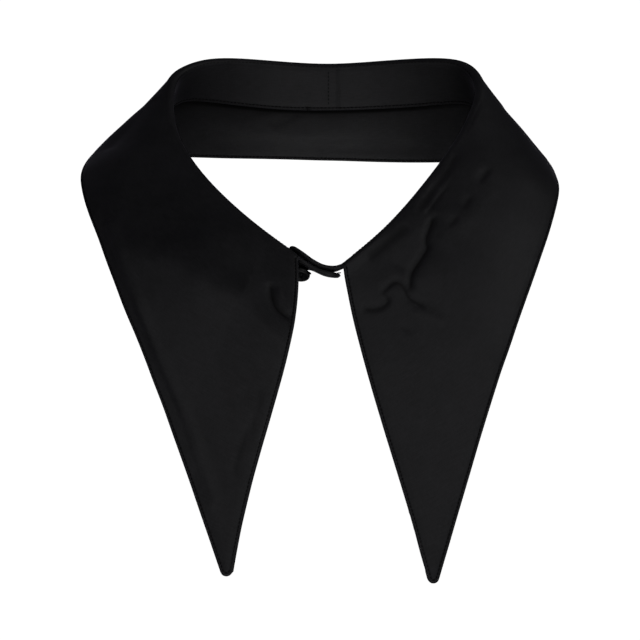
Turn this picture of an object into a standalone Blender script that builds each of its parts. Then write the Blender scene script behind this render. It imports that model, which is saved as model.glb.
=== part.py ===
"""Detachable shirt collar, filled out as it is worn, with long pointed leaves and a buttoned stand.

Frame: metres, +Z up, the front of the collar towards -Y, the viewer's left at -X. The origin is the middle
of the neck ring, where the neck holds the collar.

Every cloth piece follows one middle surface. Its section runs up the stand, over a small roll at the fold and
down the fall to the outer edge. The upper collar and the inner stand are a layer on one side of that surface,
the under collar and the outer stand a layer on the other side, 0.3 mm apart.
"""

from collections import namedtuple
from math import radians

import bmesh
import bpy
import numpy as np
from mathutils import Matrix, Vector

MM = 0.001

# Cloth
LAYER = 1.0 * MM  # one layer of fused cloth
GAP = 0.3 * MM  # between layers, and between pieces at a seam
LAYER_OFFSET = (LAYER + GAP) / 2
ROLL_RADIUS = 2.0 * MM  # of the middle surface at the fold
TIP_RADIUS = 2.6 * MM  # rounding of each point, in the plane of the leaf
STAND_TUCK = 14.0  # degrees that the stand leans in at the sides of the neck
NECK_HALF_WIDTH = 70.0 * MM
BACK_SEAM_STATION = 0.33  # the inner stand's back seam, just to the right of the middle

# Sections of the fall from the centre back to the front corner, in millimetres, one table a side.
# fold_* is the top of the fold and edge_* the outer edge that the section runs to; out is the distance from
# the middle. lean is the stand's forward lean in degrees, height the stand's, crown the fall's bulge.
Section = namedtuple("Section", "name fold_out fold_y fold_z edge_out edge_y edge_z lean height crown")
LEFT_SECTIONS = [
    Section("centre back", 0.0, 54.5, 38.0, 0.0, 68.0, -6.9, 12, 21.5, 0.5),
    Section("back", 24.0, 53.0, 39.5, 28.0, 66.5, -6.2, 12, 21.0, 0.8),
    Section("back quarter", 47.5, 45.5, 41.0, 58.5, 59.5, -4.8, 13, 19.5, 0.6),
    Section("shoulder back", 61.5, 37.0, 38.3, 82.0, 46.5, -2.5, 14, 18.0, -0.2),
    Section("shoulder top", 67.8, 27.5, 33.5, 100.0, 29.0, 0.5, 16, 17.0, 0.0),
    Section("shoulder", 69.0, 15.0, 25.0, 107.2, 10.0, -5.5, 19, 16.5, 1.0),
    Section("shoulder front", 66.5, -1.0, 12.5, 106.0, -11.0, -14.5, 23, 16.0, 2.5),
    Section("collarbone", 58.8, -15.5, 0.2, 98.5, -30.0, -30.5, 28, 16.0, 3.5),
    Section("upper chest", 47.1, -30.0, -11.8, 86.8, -53.0, -56.5, 36, 16.0, 4.0),
    Section("chest", 30.0, -44.5, -25.5, 69.3, -76.0, -97.0, 46, 16.0, 3.5),
    Section("front corner", 10.5, -56.0, -38.8, 40.0, -108.5, -174.0, 63, 15.0, 1.5),
]
RIGHT_SECTIONS = [
    LEFT_SECTIONS[0],
    Section("back", 22.0, 53.0, 39.0, 29.5, 66.5, -7.5, 12, 21.0, 0.8),
    Section("back quarter", 47.0, 46.0, 41.0, 57.5, 59.0, -6.8, 13, 19.5, 0.6),
    Section("shoulder back", 63.5, 38.0, 40.0, 82.0, 46.0, -4.5, 14, 18.0, -0.2),
    Section("shoulder top", 70.0, 28.0, 34.5, 100.5, 28.5, -4.0, 16, 17.0, 0.0),
    Section("shoulder", 70.5, 16.5, 27.0, 105.4, 10.0, -10.0, 19, 16.5, 1.0),
    Section("shoulder front", 65.1, 1.0, 15.5, 104.3, -11.0, -18.0, 23, 16.0, 2.5),
    Section("collarbone", 57.0, -14.0, 4.2, 97.9, -31.0, -34.5, 28, 16.0, 3.5),
    Section("upper chest", 44.9, -29.5, -10.0, 87.1, -54.5, -59.5, 38, 16.0, 4.0),
    Section("chest", 28.5, -45.0, -26.8, 72.2, -77.0, -98.0, 56, 16.0, 3.5),
    Section("front corner", 9.2, -56.5, -42.4, 46.6, -110.0, -176.5, 83, 14.0, 1.5),
]
LAST = len(LEFT_SECTIONS) - 1  # stations run from -LAST, the left corner, over 0 at the back, to LAST

# The stand's tabs past the front corners, in millimetres: the top edge, and lean and height as above.
# The left tab lies over the right one, further from the neck.
TabSection = namedtuple("TabSection", "name x y z lean height")
TABS = {
    -1: [
        TabSection("past the button", -4.9, -54.6, -42.0, 80, 13.5),
        TabSection("middle", 0.0, -55.8, -44.2, 79, 14.0),
        TabSection("end", 7.4, -57.0, -45.4, 80, 13.0),
    ],
    1: [
        TabSection("gap", 3.0, -54.4, -42.0, 80, 14.0),
        TabSection("past the gap", -3.0, -53.6, -40.2, 85, 14.0),
        TabSection("inside", -8.0, -52.0, -36.7, 75, 14.0),
        TabSection("end", -13.0, -49.6, -33.0, 66, 14.0),
    ],
}
TAB_END_RADIUS = {-1: 6.0 * MM, 1: 1.5 * MM}

# The front edge of each leaf bows towards the middle: how far, and how early along the edge.
FRONT_BOW = {-1: (4.6 * MM, 2.8), 1: (2.3 * MM, 2.2)}
BOW_REACH = 1.6  # stations from the front edge over which the bow fades

# Broad soft folds: side, then the station and share of the fall where each starts and ends, the half
# width and the depth in millimetres (a trough is positive).
Fold = namedtuple("Fold", "side from_station from_share to_station to_share width depth")
FOLDS = [
    Fold(1, 5.6, 0.55, 8.6, 0.40, 12.0, 0.8),
    Fold(1, 8.3, 0.30, 9.7, 0.16, 12.0, 0.8),
    Fold(-1, 8.2, 0.40, 9.8, 0.18, 12.0, 0.8),
    Fold(-1, 7.2, 0.86, 9.2, 0.86, 12.0, -0.5),
]

# Mesh steps
COLUMNS_A_SECTION = 3
TIP_STEPS = 5
ROLL_STEPS = 5
SEAM_STEP = 0.04  # the first, short step of the roll, as a share of it, which squares the cloth to the seam
FALL_STEPS = 8
STAND_STEPS = 3
TAB_STEPS = 3
TAB_END_TURNS = 6  # columns round the end of a tab

# Button
BUTTON_RADIUS = 4.6 * MM
BUTTON_THICKNESS = 2.2 * MM
BUTTON_CENTRE = Vector((-10.0, -51.0, -45.5)) * MM
BUTTON_TILT = 50.0  # degrees that the face looks down
BUTTON_SLOPE = 11.0  # degrees that it slopes down to the right, with the tab it lies on
BUTTON_HOLE_RADIUS = 0.7 * MM
BUTTON_HOLE_SPACING = 1.15 * MM  # from the middle, along both diagonals
BUTTON_SEGMENTS = 32

# Buttonhole through both layers of the left tab, above the button
BUTTONHOLE_STATION = -10.2
BUTTONHOLE_SHARE = 0.36  # of the tab's height, from its top edge
BUTTONHOLE_LENGTH = 9.6 * MM
BUTTONHOLE_WIDTH = 0.8 * MM

CLOTH_COLOUR = (0.012, 0.012, 0.014, 1.0)
BUTTON_COLOUR = (0.01, 0.01, 0.011, 1.0)


def unit(vectors):
    """Each vector divided by its length."""
    return vectors / np.maximum(np.linalg.norm(vectors, axis=-1, keepdims=True), 1e-12)


def smooth_curve(rows, knots, at):
    """The natural cubic curve through the rows, which stand at the knots, read at each value of at."""
    step = np.diff(knots)
    system = np.eye(len(rows))
    change = np.zeros_like(rows)
    for i in range(1, len(rows) - 1):
        system[i, i - 1 : i + 2] = step[i - 1] / 6, (step[i - 1] + step[i]) / 3, step[i] / 6
        change[i] = (rows[i + 1] - rows[i]) / step[i] - (rows[i] - rows[i - 1]) / step[i - 1]
    bend = np.linalg.solve(system, change)
    at = np.clip(at, knots[0], knots[-1])
    i = np.clip(np.searchsorted(knots, at, "right") - 1, 0, len(rows) - 2)
    after = ((at - knots[i]) / step[i])[:, None]
    before = 1 - after
    straight = before * rows[i] + after * rows[i + 1]
    curved = (before**3 - before) * bend[i] + (after**3 - after) * bend[i + 1]
    return straight + curved * step[i][:, None] ** 2 / 6


def section_rows():
    """All sections from the left corner to the right corner, out turned into x."""
    rows = []
    for side, sections in ((-1, LEFT_SECTIONS[:0:-1]), (1, RIGHT_SECTIONS)):
        for s in sections:
            fold = (side * s.fold_out, s.fold_y, s.fold_z)
            edge = (side * s.edge_out, s.edge_y, s.edge_z)
            rows.append((*fold, *edge, s.height, s.crown, s.lean))
    return np.array(rows)


SECTION_ROWS = section_rows()


def sections_at(at):
    """Fold point, edge point, stand height, crown and lean (in radians) at each station."""
    knots = np.arange(-LAST, LAST + 1.0)
    values = smooth_curve(SECTION_ROWS, knots, np.asarray(at, float))
    return (
        values[:, 0:3] * MM,
        values[:, 3:6] * MM,
        values[:, 6] * MM,
        values[:, 7] * MM,
        np.radians(values[:, 8]),
    )


def stand_up(points, lean):
    """The stand's upward direction: leaning forward by lean, and inwards at the sides of the neck."""
    tuck = radians(STAND_TUCK) * points[:, 0] / NECK_HALF_WIDTH
    return unit(np.stack([-np.sin(tuck), -np.sin(lean), np.cos(lean)], axis=-1))


def seam_frame(at):
    """The line where stand and fall meet, with the stand's up direction, the way in and the way along."""
    reach = 0.02
    fold, _, _, _, lean = sections_at(at)
    ahead = sections_at(np.clip(at + reach, -LAST, LAST))[0]
    behind = sections_at(np.clip(at - reach, -LAST, LAST))[0]
    along = unit(ahead - behind)
    up = stand_up(fold, lean)
    inward = unit(np.cross(along, up))
    return fold + ROLL_RADIUS * (inward - up), up, inward, along


def rounded_tip(side):
    """The station where a leaf's rounded tip starts, and a function of 0..1 round its arc.

    The arc touches the outer edge and the front edge, whose angle at the sharp point is halved to find
    its middle."""
    stations = np.linspace(LAST - 1.5, LAST, 601)
    edge = sections_at(stations * side)[1]
    point = edge[-1]
    corner = sections_at(np.array([LAST * side]))[0][0]
    to_corner = unit(corner - point)
    to_shoulder = unit(edge[-60] - point)
    half_angle = np.arccos(to_corner @ to_shoulder) / 2
    setback = TIP_RADIUS / np.tan(half_angle)
    start = np.interp(-setback, -np.linalg.norm(edge - point, axis=1), stations)
    centre = point + unit(to_corner + to_shoulder) * TIP_RADIUS / np.sin(half_angle)
    first = point + to_shoulder * setback - centre
    last = point + to_corner * setback - centre
    sweep = np.pi - 2 * half_angle

    def arc(share):
        angle = share[:, None] * sweep
        return centre + (np.sin(sweep - angle) * first + np.sin(angle) * last) / np.sin(sweep)

    return start, arc


def fall_columns():
    """Stations of the fall's columns from the left corner to the right one, and the edge point of each."""
    stations, edges = [], []
    for side in (-1, 1):
        start, arc = rounded_tip(side)
        regular = np.arange((LAST - 1) * COLUMNS_A_SECTION + 1) / COLUMNS_A_SECTION
        closing = np.linspace(LAST - 1, start, COLUMNS_A_SECTION + 3)[1:]
        at = np.concatenate([regular, closing])
        turned = np.linspace(0, 1, TIP_STEPS + 1)[1:]
        edge = np.concatenate([sections_at(at * side)[1], arc(turned)])
        at = np.concatenate([at, start + (LAST - start) * turned]) * side
        if side < 0:
            at, edge = at[:0:-1], edge[:0:-1]
        stations.append(at)
        edges.append(edge)
    return np.concatenate(stations), np.concatenate(edges)


def fall_surface(at, edge, layer=0.0):
    """Middle surface of the collar's fall: columns along the neck, rows from the seam to the outer edge.

    A row starts with an arc of the roll's radius, which turns from the stand's up direction to the way
    down to the edge, and goes on in a straight run with a crown of 4 s (1 - s) times its height."""
    _, _, _, crown, _ = sections_at(at)
    top, up, inward, along = seam_frame(at)
    outward = -inward
    start = sections_at(at)[0]
    for _ in range(4):
        run = edge - start
        face = unit(np.cross(along, run))
        lead = run + 4 * crown[:, None] * face
        turn = np.arctan2((lead * outward).sum(axis=1), (lead * up).sum(axis=1)) % (2 * np.pi)
        rise = np.sin(turn)[:, None] * up + (1 - np.cos(turn))[:, None] * outward
        start = top + ROLL_RADIUS * rise
    seam_angle = GAP / 2 / (ROLL_RADIUS + layer)
    share = np.concatenate([[0, SEAM_STEP], np.arange(1, ROLL_STEPS + 1) / ROLL_STEPS])[None, :]
    angle = (seam_angle + (turn[:, None] - seam_angle) * share)[:, :, None]
    turned = np.sin(angle) * up[:, None] + (1 - np.cos(angle)) * outward[:, None]
    roll = top[:, None] + ROLL_RADIUS * turned
    s = (np.arange(1, FALL_STEPS + 1) / FALL_STEPS)[None, :, None]
    fall = start[:, None] + s * run[:, None] + 4 * s * (1 - s) * (crown[:, None] * face)[:, None]
    fall += front_bow(at, run, s)
    return np.concatenate([roll, fall], axis=1)


def front_bow(at, run, s):
    """Shift of the leaf towards the middle, s (1 - s)^power scaled to its peak, fading from the edge."""
    shift = 0
    for side, (rise, power) in FRONT_BOW.items():
        near = np.clip((at * side - LAST + BOW_REACH) / BOW_REACH, 0, 1) ** 2
        straight = unit(run)
        inner = np.array([-side, 0.0, 0.0])
        across = unit(inner - (straight @ inner)[:, None] * straight)
        peak = 1 / (1 + power)
        bow = s * (1 - s) ** power / (peak * (1 - peak) ** power)
        shift = shift + (near[:, None] * across)[:, None] * rise * bow
    return shift


def fold_point(at, surface, station, share):
    """The point of the fall at a station and a share of the way from the fold to the edge."""
    column = np.argmin(np.abs(at - station))
    row = round((1 - share) * FALL_STEPS)
    return surface[column, -1 - row]


def add_folds(at, surface):
    """The surface pressed in along each line of FOLDS by its depth, as a bell across and a dome along."""
    face = normals(surface)
    moved = surface.copy()
    for f in FOLDS:
        a = fold_point(at, surface, f.side * f.from_station, f.from_share)
        b = fold_point(at, surface, f.side * f.to_station, f.to_share)
        length = np.linalg.norm(b - a)
        line = (b - a) / length
        place = (surface - a) @ line / length
        aside = np.linalg.norm(surface - a - (place * length)[..., None] * line, axis=-1)
        dome = np.clip(1 - (2 * place - 1) ** 2, 0, 1)
        bell = np.exp(-((aside / (f.width * MM)) ** 2))
        moved -= face * (f.depth * MM * dome * bell)[..., None]
    return moved


def tab_curve(at, side):
    """Top edge, height and lean of one tab, at stations past the corner; the sections before it lead in."""
    tab = TABS[side]
    before = np.array([LAST - 2.0, LAST - 1.0, LAST]) * side
    _, _, height, _, lean = sections_at(before)
    lead_in = np.column_stack([seam_frame(before)[0], height, lean])
    rows = [(t.x * MM, t.y * MM, t.z * MM, t.height * MM, radians(t.lean)) for t in tab]
    rows = np.concatenate([lead_in, rows])
    knots = np.concatenate([[0], np.cumsum(np.linalg.norm(np.diff(rows[:, :3], axis=0), axis=1))])
    share = (at * side - LAST) / len(tab)
    values = smooth_curve(rows, knots, knots[2] + share * (knots[-1] - knots[2]))
    return values[:, 0:3], values[:, 3], values[:, 4]


def stand_columns():
    """Stations of the stand's columns: even round the neck and along the tabs, and closing up at the
    tabs' ends as the columns of a turned corner do."""
    ring = np.arange(-LAST * COLUMNS_A_SECTION, LAST * COLUMNS_A_SECTION + 1) / COLUMNS_A_SECTION
    stations = [ring]
    for side in (-1, 1):
        end = stand_end(side)
        dense = np.linspace(LAST, end, 401) * side
        top = tab_curve(dense, side)[0]
        to_end = np.concatenate([[0], np.cumsum(np.linalg.norm(np.diff(top[::-1], axis=0), axis=1))])
        turn = np.linspace(0, np.pi / 2, TAB_END_TURNS + 1)
        corner = np.interp(TAB_END_RADIUS[side] * (1 - np.cos(turn)), to_end, dense[::-1])
        plain = np.arange(LAST * TAB_STEPS + 1, end * TAB_STEPS) / TAB_STEPS * side
        plain = plain[np.abs(plain) < np.abs(corner).min() - 0.5 / TAB_STEPS]
        stations += [plain, corner]
    return np.sort(np.concatenate(stations))


def stand_surface(first, last):
    """Middle surface of the stand between two stations: rows from the seam down to the bottom edge."""
    at = stand_columns()
    at = np.concatenate([[first], at[(at > first + 0.01) & (at < last - 0.01)], [last]])
    inside = np.clip(at, -LAST, LAST)
    _, _, height, _, lean = sections_at(inside)
    top = seam_frame(inside)[0]
    for side in (-1, 1):
        past = at * side > LAST
        if past.any():
            top[past], height[past], lean[past] = tab_curve(at[past], side)
    up = stand_up(top, lean)
    high = GAP / 2 / height
    low = np.ones(len(at))
    travelled = np.concatenate([[0], np.cumsum(np.linalg.norm(np.diff(top, axis=0), axis=1))])
    for side, to_end in ((-1, travelled), (1, travelled[-1] - travelled)):
        if abs((first, last)[side > 0] - side * stand_end(side)) < 1e-6:
            radius = TAB_END_RADIUS[side]
            short = np.clip(radius - to_end, 0, radius)
            trim = (radius - np.sqrt(radius**2 - short**2)) / height
            high = np.maximum(high, trim)
            low = np.minimum(low, 1 - trim)
    rows = np.arange(STAND_STEPS + 1) / STAND_STEPS
    drop = (high[:, None] + (low - high)[:, None] * rows) * height[:, None]
    return top[:, None] - drop[:, :, None] * up[:, None]


def stand_end(side):
    """How many stations from the centre back a tab ends."""
    return LAST + len(TABS[side])


def bisector(points, axis):
    """Direction along an axis of the grid at each point, the mean of the steps before and after it."""
    steps = unit(np.diff(points, axis=axis))
    padding = [(0, 0)] * points.ndim
    padding[axis] = (1, 1)
    steps = np.pad(steps, padding, mode="edge")
    size = points.shape[axis]
    return unit(steps.take(range(size), axis) + steps.take(range(1, size + 1), axis))


def normals(surface):
    """Unit normals of a grid, along columns crossed with down rows."""
    return unit(np.cross(bisector(surface, 0), bisector(surface, 1)))


def build_collection(name):
    """A new collection in the scene."""
    collection = bpy.data.collections.new(name)
    bpy.context.scene.collection.children.link(collection)
    return collection


def material(name, colour, roughness):
    """A plain non-metallic surface."""
    made = bpy.data.materials.new(name)
    made.use_nodes = True
    shader = made.node_tree.nodes["Principled BSDF"]
    shader.inputs["Base Color"].default_value = colour
    shader.inputs["Roughness"].default_value = roughness
    shader.inputs["Metallic"].default_value = 0.0
    made.diffuse_color = colour
    return made


def cloth_piece(name, surface, collection):
    """A cloth layer: the grid as an open sheet, given its thickness by Solidify."""
    columns, rows = surface.shape[:2]
    number = np.arange(columns * rows).reshape(columns, rows)
    quads = np.stack([number[:-1, :-1], number[1:, :-1], number[1:, 1:], number[:-1, 1:]], axis=-1)
    mesh = bpy.data.meshes.new(name)
    mesh.from_pydata(surface.reshape(-1, 3).tolist(), [], quads.reshape(-1, 4).tolist())
    mesh.shade_smooth()
    mesh.materials.append(material(name + "_cloth", CLOTH_COLOUR, 0.6))
    piece = bpy.data.objects.new(name, mesh)
    collection.objects.link(piece)
    wall = piece.modifiers.new("wall", "SOLIDIFY")
    wall.thickness = LAYER
    wall.offset = 0.0
    wall.use_even_offset = True
    wall.use_quality_normals = True
    return piece


def fall_piece(name, side_of_layer, collection):
    """Upper or under collar, the layer on the given side of the middle surface."""
    offset = side_of_layer * LAYER_OFFSET
    at, edge = fall_columns()
    surface = add_folds(at, fall_surface(at, edge, offset))
    return cloth_piece(name, surface + offset * normals(surface), collection)


def stand_piece(name, side_of_layer, first, last, collection):
    """A stretch of the outer or inner stand; its neck side is the upper collar's side."""
    surface = stand_surface(first, last)
    offset = side_of_layer * LAYER_OFFSET
    return cloth_piece(name, surface - offset * normals(surface), collection)


def cut(piece, cutter):
    """Take the cutter's shape out of the piece."""
    taken = piece.modifiers.new("cut", "BOOLEAN")
    taken.operation = "DIFFERENCE"
    taken.solver = "EXACT"
    taken.object = cutter


def add_cutter(name, shape, place, cutters):
    """A hidden object from the finished shape, for cutting with."""
    mesh = bpy.data.meshes.new(name)
    shape.to_mesh(mesh)
    shape.free()
    cutter = bpy.data.objects.new(name, mesh)
    cutter.hide_render = True
    cutter.display_type = "WIRE"
    cutter.matrix_world = place
    cutters.objects.link(cutter)
    return cutter


def buttonhole_cutter(cutters):
    """A slot along the left tab, right through both layers."""
    near = np.array([BUTTONHOLE_STATION - 0.1, BUTTONHOLE_STATION, BUTTONHOLE_STATION + 0.1])
    top, height, lean = tab_curve(near, -1)
    up = stand_up(top, lean)[1]
    centre = top[1] - BUTTONHOLE_SHARE * height[1] * up
    along = Vector(top[2] - top[0]).normalized()
    through = along.cross(Vector(up)).normalized()
    turn = Matrix((along, through.cross(along), through)).transposed().to_4x4()
    shape = bmesh.new()
    bmesh.ops.create_cube(shape, size=1.0)
    bmesh.ops.scale(shape, vec=(BUTTONHOLE_LENGTH, BUTTONHOLE_WIDTH, 6 * LAYER), verts=shape.verts)
    return add_cutter("buttonhole_cutter", shape, Matrix.Translation(Vector(centre)) @ turn, cutters)


def button_profile():
    """Half section of the button, from the middle of its face round the rim to the middle of its back."""
    rim = BUTTON_RADIUS
    half = BUTTON_THICKNESS / 2
    return [
        (0.0, half - 0.75 * MM),
        (rim - 1.9 * MM, half - 0.65 * MM),
        (rim - 1.3 * MM, half - 0.1 * MM),
        (rim - 0.8 * MM, half),
        (rim - 0.25 * MM, half - 0.25 * MM),
        (rim, half - 0.8 * MM),
        (rim - 0.15 * MM, -half + 0.6 * MM),
        (rim - 0.8 * MM, -half + 0.1 * MM),
        (rim - 1.6 * MM, -half),
        (0.0, -half),
    ]


def button(collection, cutters):
    """A four-hole button, turned from its profile, its face towards the front and tilted down."""
    mesh = bpy.data.meshes.new("button")
    points = [(x, 0.0, z) for x, z in button_profile()]
    mesh.from_pydata(points, [(i, i + 1) for i in range(len(points) - 1)], [])
    mesh.materials.append(material("button_plastic", BUTTON_COLOUR, 0.35))
    piece = bpy.data.objects.new("button", mesh)
    collection.objects.link(piece)
    turn = piece.modifiers.new("turned", "SCREW")
    turn.steps = turn.render_steps = BUTTON_SEGMENTS
    turn.use_merge_vertices = True
    turn.merge_threshold = 0.00001
    turn.use_normal_calculate = True
    facing = Matrix.Rotation(radians(BUTTON_SLOPE), 4, "Y") @ Matrix.Rotation(radians(90 + BUTTON_TILT), 4, "X")
    place = Matrix.Translation(BUTTON_CENTRE) @ facing
    piece.matrix_world = place
    for across in (-1, 1):
        for along in (-1, 1):
            shape = bmesh.new()
            bmesh.ops.create_cone(
                shape,
                cap_ends=True,
                segments=12,
                radius1=BUTTON_HOLE_RADIUS,
                radius2=BUTTON_HOLE_RADIUS,
                depth=3 * BUTTON_THICKNESS,
            )
            aside = Vector((across * BUTTON_HOLE_SPACING, along * BUTTON_HOLE_SPACING, 0))
            cut(piece, add_cutter("button_hole_cutter", shape, place @ Matrix.Translation(aside), cutters))
    return piece


def clear_scene():
    """Remove every object of the open scene."""
    for old in list(bpy.data.objects):
        bpy.data.objects.remove(old, do_unlink=True)


def build():
    """All pieces of the collar."""
    clear_scene()
    collar = build_collection("detachable_collar")
    cutters = build_collection("cutters")
    fall_piece("upper_collar", 1, collar)
    fall_piece("under_collar", -1, collar)
    half_gap = GAP / 2 / (RIGHT_SECTIONS[1].fold_out * MM)
    buttonhole = buttonhole_cutter(cutters)
    outer = stand_piece("stand_outer", -1, -stand_end(-1), stand_end(1), collar)
    inner = stand_piece("stand_inner_left", 1, -stand_end(-1), BACK_SEAM_STATION - half_gap, collar)
    stand_piece("stand_inner_right", 1, BACK_SEAM_STATION + half_gap, stand_end(1), collar)
    cut(outer, buttonhole)
    cut(inner, buttonhole)
    button(collar, cutters)


build()
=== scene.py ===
"""Looks of a detachable black shirt collar with long pointed leaves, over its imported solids.

Frame: metres, +Z up, the front of the collar towards -Y, the viewer's left at -X. The origin is the middle of
the neck ring, where the neck holds the collar.
"""

from collections import namedtuple
from math import cos, pi, radians, sin

import bpy
import numpy as np
from mathutils import Matrix, Vector


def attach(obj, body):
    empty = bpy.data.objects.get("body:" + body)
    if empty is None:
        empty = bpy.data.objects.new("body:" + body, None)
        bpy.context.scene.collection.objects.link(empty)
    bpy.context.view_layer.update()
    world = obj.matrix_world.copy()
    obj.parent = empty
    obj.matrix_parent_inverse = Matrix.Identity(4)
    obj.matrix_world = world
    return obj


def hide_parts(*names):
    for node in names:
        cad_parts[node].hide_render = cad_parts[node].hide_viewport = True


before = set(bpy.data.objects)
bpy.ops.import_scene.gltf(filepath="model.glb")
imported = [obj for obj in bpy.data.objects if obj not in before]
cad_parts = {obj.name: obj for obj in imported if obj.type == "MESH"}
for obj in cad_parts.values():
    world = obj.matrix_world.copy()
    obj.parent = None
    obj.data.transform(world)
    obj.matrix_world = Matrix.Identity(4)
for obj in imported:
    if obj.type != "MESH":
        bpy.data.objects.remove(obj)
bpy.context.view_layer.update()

MM = 0.001

# The collar's sections from the centre back to the front corner, in millimetres and degrees, one table a side.
# fold_* is the top of the fold and edge_* the outer edge; out is the distance from the middle. lean and height
# are the stand's, crown is the fall's bulge.
Section = namedtuple("Section", "name fold_out fold_y fold_z edge_out edge_y edge_z lean height crown")
LEFT_SECTIONS = [
    Section("centre back", 0.0, 54.5, 38.0, 0.0, 68.0, -6.9, 8, 19.3, 0.5),
    Section("back", 24.0, 53.0, 39.5, 28.0, 66.5, -6.2, 9, 19.9, 0.8),
    Section("back quarter", 47.5, 45.5, 41.0, 58.5, 59.5, -4.8, 13, 18.4, 0.6),
    Section("shoulder back", 61.5, 37.0, 38.3, 82.0, 46.5, -2.5, 14, 15.0, -0.2),
    Section("shoulder top", 67.8, 27.5, 33.5, 100.0, 29.0, 0.5, 16, 15.0, 0.0),
    Section("shoulder", 69.0, 15.0, 25.0, 107.2, 10.0, -5.5, 19, 16.5, 1.0),
    Section("shoulder front", 66.5, -1.0, 12.5, 106.0, -11.0, -14.5, 23, 16.0, 2.5),
    Section("collarbone", 58.8, -15.5, 0.2, 98.5, -30.0, -30.5, 28, 16.0, 3.5),
    Section("upper chest", 47.1, -30.0, -11.8, 86.8, -53.0, -56.5, 36, 16.0, 4.0),
    Section("chest", 30.0, -44.5, -25.5, 69.3, -76.0, -97.0, 46, 16.0, 3.5),
    Section("front corner", 10.5, -56.0, -38.8, 40.0, -108.5, -174.0, 63, 15.0, 1.5),
]
RIGHT_SECTIONS = [
    LEFT_SECTIONS[0],
    Section("back", 22.0, 53.0, 39.0, 29.5, 66.5, -7.5, 9, 19.7, 0.8),
    Section("back quarter", 47.0, 46.0, 41.0, 57.5, 59.0, -6.8, 13, 19.9, 0.6),
    Section("shoulder back", 63.5, 38.0, 40.0, 82.0, 46.0, -4.5, 14, 18.0, -0.2),
    Section("shoulder top", 70.0, 28.0, 34.5, 100.5, 28.5, -4.0, 16, 17.0, 0.0),
    Section("shoulder", 70.5, 16.5, 27.0, 105.4, 10.0, -10.0, 19, 16.5, 1.0),
    Section("shoulder front", 65.1, 1.0, 15.5, 104.3, -11.0, -18.0, 23, 16.0, 2.5),
    Section("collarbone", 57.0, -14.0, 4.2, 97.9, -31.0, -34.5, 28, 16.0, 3.5),
    Section("upper chest", 44.9, -29.5, -10.0, 87.1, -54.5, -59.5, 38, 16.0, 4.0),
    Section("chest", 28.5, -45.0, -26.8, 72.2, -77.0, -98.0, 56, 16.0, 3.5),
    Section("front corner", 9.2, -56.5, -42.4, 46.6, -110.0, -176.5, 83, 14.0, 1.5),
]
LAST = len(LEFT_SECTIONS) - 1  # stations run from -LAST, the left corner, over 0 at the back, to LAST

# The stand's tabs past the front corners: the top edge, and lean and height as above.
TabSection = namedtuple("TabSection", "name x y z lean height")
TABS = {
    -1: [
        TabSection("past the button", -4.9, -54.6, -41.8, 80, 13.5),
        TabSection("middle", 0.0, -55.8, -43.9, 80, 14.0),
        TabSection("end", 7.4, -57.0, -45.4, 80, 13.0),
    ],
    1: [
        TabSection("gap", 3.0, -54.4, -42.0, 77, 14.0),
        TabSection("past the gap", -3.0, -53.6, -40.2, 82, 14.0),
        TabSection("inside", -8.0, -52.0, -36.7, 75, 14.0),
        TabSection("end", -14.1, -49.2, -32.9, 66, 14.0),
    ],
}
TAB_END_RADIUS = {-1: 6.0 * MM, 1: 3.0 * MM}
TAB_BELLY = 0.25 * MM  # outwards on the right tab, inwards on the left

FAR = 9 * MM  # stands for any distance at which an edge or a seam has no effect
HALF_WALL = 1.15 * MM  # from the middle of the cloth to each face
RIM_WALL = 0.95 * MM  # the same along the free edges, and the rounding of the edges
ROLL_RADIUS = 1.3 * MM
TIP_RADIUS = 2.6 * MM
STAND_TUCK = 14.0
NECK_HALF_WIDTH = 70.0 * MM
BACK_SEAM_STATION = 0.33
FRONT_BOW = {-1: (4.6 * MM, 2.8), 1: (2.3 * MM, 2.2)}
BOW_REACH = 1.6

# Steps of the meshes
EDGE_STEPS = np.array([6, 4.4, 3.2, 2.7, 2.3, 2, 1.75, 1.6, 1.45, 1.3, 1.15, 1.0, 0.8, 0.5, 0.25, 0.08, 0]) * MM
COLUMNS_A_SECTION = [15, 15, 14, 14, 16, 18, 22, 34, 44, 60]
STATION_WIDTH = 33.0 * MM  # a station's width at the leaves' front edges
FALL_ROWS = 136
ROLL_SHARES = np.concatenate([[0, 0.02, 0.05, 0.09, 0.14], np.linspace(0.2, 1, 13)])
STAND_COLUMNS_A_SECTION = 16
TAB_STEP = 0.06  # stations
STAND_ROWS = 16
STAND_REFERENCE = 16.0 * MM  # the height at which the edge steps have their own size

# Sewing
STITCH_INSET = 1.35 * MM  # of the topstitching from the edges
RIM_NORMAL_ROW = 8  # the row, counted from a leaf's front edge, whose normals the edge's stitches take
STITCH_PITCH = 1.75 * MM
STITCH_LENGTH = 1.35 * MM
STITCH_RADIUS = 0.2 * MM
STITCH_LIFT = 0.15 * MM
STITCH_DITCH = 0.24 * MM
FOLD_STITCH_RADIUS, FOLD_STITCH_LIFT = 0.1 * MM, 0.05 * MM
BACK_STITCH_RADIUS, BACK_STITCH_OFFSET = 0.09 * MM, 3.9 * MM  # the row beside the back seam
BACK_SEAM_DIP, BACK_SEAM_WIDTH = 0.2 * MM, 0.7 * MM
FOLD_STITCH_SHARE = 0.2  # of the roll, from the seam
SEAM_DITCH = 0.14 * MM

# The left leaf breaks over a soft line: its stations, and the line's share of the way down at each.
BREAK_LINE = [(5.74, 1.0), (6.53, 0.93), (7.32, 0.77), (7.93, 0.62), (8.57, 0.44), (9.29, 0.29), (9.91, 0.25)]
BREAK_RISE = 13.0 * MM  # at the line
BREAK_FROM, BREAK_FULL = 4.5, 7.0  # stations over which it grows
BREAK_ROUND = 22.0 * MM  # over which the line itself is rounded
BREAK_FALL = 75.0 * MM  # below the line, over which it dies away
SIGHT = np.array([0.0, -0.99, 0.139])  # towards the camera of the photograph

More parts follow.
